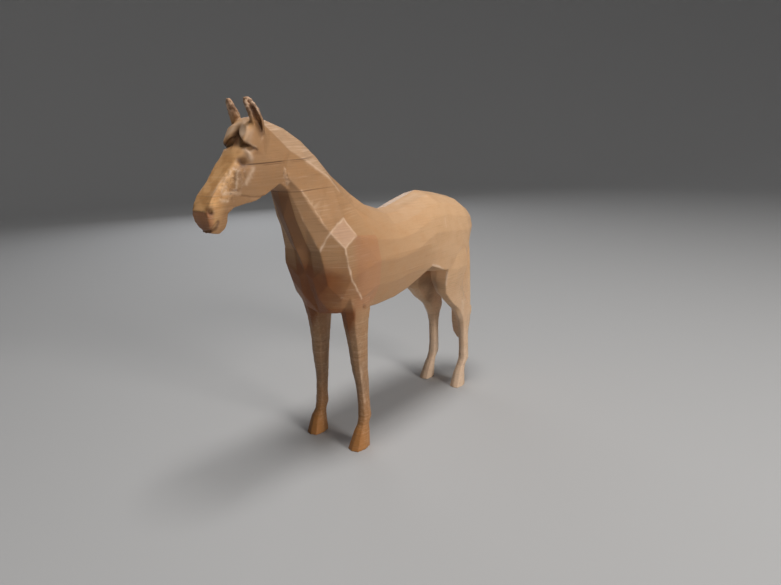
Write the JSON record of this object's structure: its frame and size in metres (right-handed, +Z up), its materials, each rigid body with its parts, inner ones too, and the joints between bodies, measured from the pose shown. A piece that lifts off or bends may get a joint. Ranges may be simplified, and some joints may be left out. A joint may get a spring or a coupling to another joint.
{
  "type": "horse figurine",
  "caption": "Small faceted horse figure standing square on all its hooves, head forward, with pricked ears, a short forelock and a hanging tail, 3-D printed in one piece.",
  "frame": {"origin": "bottom centre of the bounding box, on the surface that the hooves stand on", "axes": "+Z up, -Y the way the head looks, +X the figure's own left side"},
  "size_m": [0.041, 0.1728, 0.1589],
  "materials": {
    "filament": "satin, with fine print layers"
  },
  "bodies": {
    "root": {"horse": "filament"}
  },
  "joints": []
}
